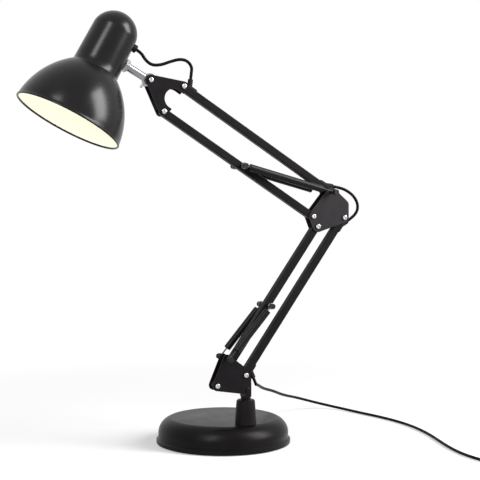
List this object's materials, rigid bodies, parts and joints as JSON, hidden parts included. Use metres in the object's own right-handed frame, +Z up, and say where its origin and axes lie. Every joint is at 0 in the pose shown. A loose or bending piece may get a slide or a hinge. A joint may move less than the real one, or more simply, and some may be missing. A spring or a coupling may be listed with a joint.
{
  "type": "desk lamp",
  "caption": "Black spring-balanced desk lamp: a bell shade on two folding parallelogram arms of square tube, turning in a post on a round weighted base.",
  "frame": {"origin": "middle of the base's underside", "axes": "+Z up, the arms fold in a plane parallel to XZ, and the shade reaches towards -X at rest"},
  "size_m": [0.6703, 0.527, 0.5585],
  "materials": {
    "gloss_black": "gloss",
    "satin_black": "satin",
    "sleeve_black": "satin",
    "bolt_steel": "bright",
    "spring_steel": "satin",
    "stem_chrome": "polished",
    "black_rubber": "matte",
    "cord_black": "satin",
    "moulded_black": "satin",
    "plate_steel": "satin",
    "weight_iron": "rough",
    "holder_white": "satin",
    "cap_aluminium": "satin",
    "bulb_glow": "frosted"
  },
  "bodies": {
    "base": {"base_cover": "gloss_black", "base_pad": "black_rubber", "base_plate": "plate_steel", "base_weight": "weight_iron", "socket_post": "satin_black", "socket_nut": "bolt_steel", "power_cord": "cord_black", "cord_coil": "cord_black", "coil_tie": "cord_black", "cord_tail": "cord_black", "switch_shells": "moulded_black", "plug_body": "moulded_black", "plug_pins": "plate_steel"},
    "lower_bracket": {"lower_cheek_near": "satin_black", "lower_cheek_far": "satin_black", "lower_pivot_bolts": "bolt_steel", "swivel_spindle": "satin_black", "swivel_washer": "satin_black", "lower_spring_studs": "satin_black"},
    "lower_rear_arm": {"lower_rear_tube": "satin_black", "lower_rear_tube_plugs": "moulded_black", "lower_rear_tube_boots": "black_rubber", "lower_rear_tube_cable": "cord_black"},
    "lower_front_arm": {"lower_front_tube": "satin_black", "lower_front_tube_plugs": "moulded_black", "lower_cross_pin": "satin_black"},
    "lower_spring_tubes": {"lower_spring_sleeves": "sleeve_black", "lower_springs": "spring_steel"},
    "lower_hooks": {"lower_spring_hooks": "spring_steel"},
    "knuckle": {"knuckle_plate_near": "satin_black", "knuckle_plate_far": "satin_black", "knuckle_bolts": "bolt_steel", "knuckle_spring_pin": "satin_black", "knuckle_cable_loop": "cord_black"},
    "upper_top_arm": {"upper_top_tube": "satin_black", "upper_top_tube_plugs": "moulded_black", "upper_top_tube_boots": "black_rubber", "upper_top_tube_cable": "cord_black"},
    "upper_bottom_arm": {"upper_bottom_tube": "satin_black", "upper_bottom_tube_plugs": "moulded_black", "upper_cross_pin": "satin_black"},
    "upper_spring_tubes": {"upper_spring_sleeves": "sleeve_black", "upper_springs": "spring_steel"},
    "upper_hooks": {"upper_spring_hooks": "spring_steel"},
    "head_bracket": {"head_cheek_near": "satin_black", "head_cheek_far": "satin_black", "head_pivot_bolts": "bolt_steel", "nose_bolt": "bolt_steel", "wing_nut": "bolt_steel", "head_cord": "cord_black"},
    "head": {"shade": "gloss_black", "stem": "stem_chrome", "stem_nuts": "stem_chrome", "shade_grommet": "black_rubber", "lampholder": "holder_white", "holder_plate": "plate_steel", "bulb_cap": "cap_aluminium", "bulb_body": "holder_white", "bulb_globe": "bulb_glow"},
    "rocker": {"switch_rocker": "moulded_black"}
  },
  "joints": [
    {"name": "base_swivel", "type": "hinge", "parent": "base", "child": "lower_bracket", "pos_m": [0.005, -0.06, 0.067], "axis": [0, 0, 1], "range_deg": [-170, 170], "deforming": ["power_cord"]},
    {"name": "lower_arm", "type": "hinge", "parent": "lower_bracket", "child": "lower_rear_arm", "pos_m": [0.00237, -0.06, 0.09968], "axis": [0, -1, 0], "range_deg": [-15, 46], "deforming": ["power_cord"]},
    {"name": "lower_front_pivot", "type": "hinge", "parent": "lower_bracket", "child": "lower_front_arm", "pos_m": [-0.038, -0.06, 0.0881], "axis": [0, -1, 0], "range_deg": [-15.5, 46.5]},
    {"name": "knuckle_pivot", "type": "hinge", "parent": "lower_rear_arm", "child": "knuckle", "pos_m": [0.14826, -0.06, 0.3027], "axis": [0, -1, 0], "range_deg": [-46.5, 15.5], "deforming": ["knuckle_cable_loop"]},
    {"name": "lower_spring_pivot", "type": "hinge", "parent": "lower_front_arm", "child": "lower_spring_tubes", "pos_m": [0.03436, -0.06, 0.1888], "axis": [0, -1, 0], "range_deg": [-6.5, 19.5]},
    {"name": "lower_hook_pivot", "type": "hinge", "parent": "lower_bracket", "child": "lower_hooks", "pos_m": [-0.0245, -0.06, 0.123], "axis": [0, -1, 0], "range_deg": [-21.5, 65.5]},
    {"name": "upper_arm", "type": "hinge", "parent": "knuckle", "child": "upper_top_arm", "pos_m": [0.12831, -0.06, 0.33678], "axis": [0, -1, 0], "range_deg": [-20, 34], "deforming": ["knuckle_cable_loop"]},
    {"name": "upper_bottom_pivot", "type": "hinge", "parent": "knuckle", "child": "upper_bottom_arm", "pos_m": [0.10131, -0.06, 0.3046], "axis": [0, -1, 0], "range_deg": [-20.5, 34.5]},
    {"name": "head_bracket_pivot", "type": "hinge", "parent": "upper_top_arm", "child": "head_bracket", "pos_m": [-0.08371, -0.06, 0.46926], "axis": [0, -1, 0], "range_deg": [-34.5, 20.5], "deforming": ["head_cord"]},
    {"name": "upper_spring_pivot", "type": "hinge", "parent": "upper_bottom_arm", "child": "upper_spring_tubes", "pos_m": [-0.00385, -0.06, 0.37031], "axis": [0, -1, 0], "range_deg": [-6.5, 3.5]},
    {"name": "upper_hook_pivot", "type": "hinge", "parent": "knuckle", "child": "upper_hooks", "pos_m": [0.12831, -0.06, 0.33678], "axis": [0, -1, 0], "range_deg": [-17.5, 29.5]},
    {"name": "head_tilt", "type": "hinge", "parent": "head_bracket", "child": "head", "pos_m": [-0.12792, -0.06, 0.47539], "axis": [0, -1, 0], "range_deg": [-35, 40], "deforming": ["head_cord"]},
    {"name": "switch_rocker", "type": "hinge", "parent": "base", "child": "rocker", "pos_m": [0.313, -0.243, 0.0161], "axis": [1, 0, 0], "range_deg": [-8, 8]}
  ],
  "couplings": [
    {"joint": "lower_front_pivot", "follows": "lower_arm", "ratio": 1},
    {"joint": "knuckle_pivot", "follows": "lower_arm", "ratio": -1},
    {"joint": "lower_spring_pivot", "follows": "lower_arm", "ratio": 0.395},
    {"joint": "lower_hook_pivot", "follows": "lower_arm", "ratio": 1.395},
    {"joint": "upper_bottom_pivot", "follows": "upper_arm", "ratio": 1},
    {"joint": "head_bracket_pivot", "follows": "upper_arm", "ratio": -1},
    {"joint": "upper_spring_pivot", "follows": "upper_arm", "ratio": -0.15},
    {"joint": "upper_hook_pivot", "follows": "upper_arm", "ratio": 0.85}
  ]
}
